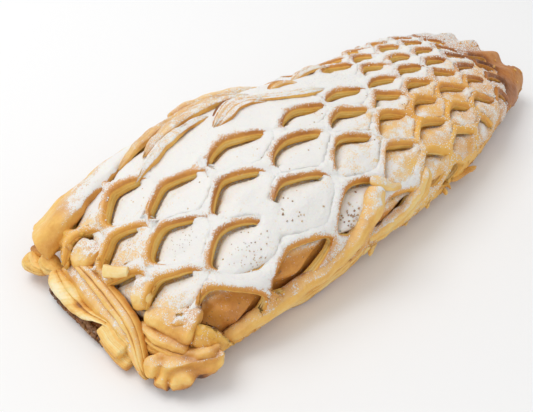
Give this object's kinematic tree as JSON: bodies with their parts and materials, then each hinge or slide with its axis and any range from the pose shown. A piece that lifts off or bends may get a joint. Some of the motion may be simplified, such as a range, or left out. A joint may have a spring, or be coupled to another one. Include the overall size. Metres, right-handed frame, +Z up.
{
  "type": "apple strudel",
  "caption": "Long baked strudel: a filled parcel under a lattice-cut puff pastry sheet, folded at its cut end and dusted with icing sugar.",
  "frame": {"origin": "middle of the flat underside, under the centre of the whole strudel's box", "axes": "+X along the loaf from its folded cut end to its far end, -Y towards the side that the lattice drapes lower on, +Z up"},
  "size_m": [0.2825, 0.11, 0.0519],
  "materials": {
    "bottom_crust": "baked puff pastry, brown and dry",
    "sugared_parcel": "baked pastry under icing sugar, amber where bare",
    "lattice_crust": "egg-washed golden crust with pale cut layers, dusted with icing sugar",
    "folded_dough": "pale golden layered pastry with a soft sheen"
  },
  "bodies": {
    "root": {"base_sheet": "bottom_crust", "apple_parcel": "sugared_parcel", "lattice_sheet": "lattice_crust", "end_roll": "folded_dough", "end_flap": "folded_dough", "end_block": "folded_dough", "left_corner_fold": "folded_dough", "right_corner_fold": "folded_dough"}
  },
  "joints": []
}
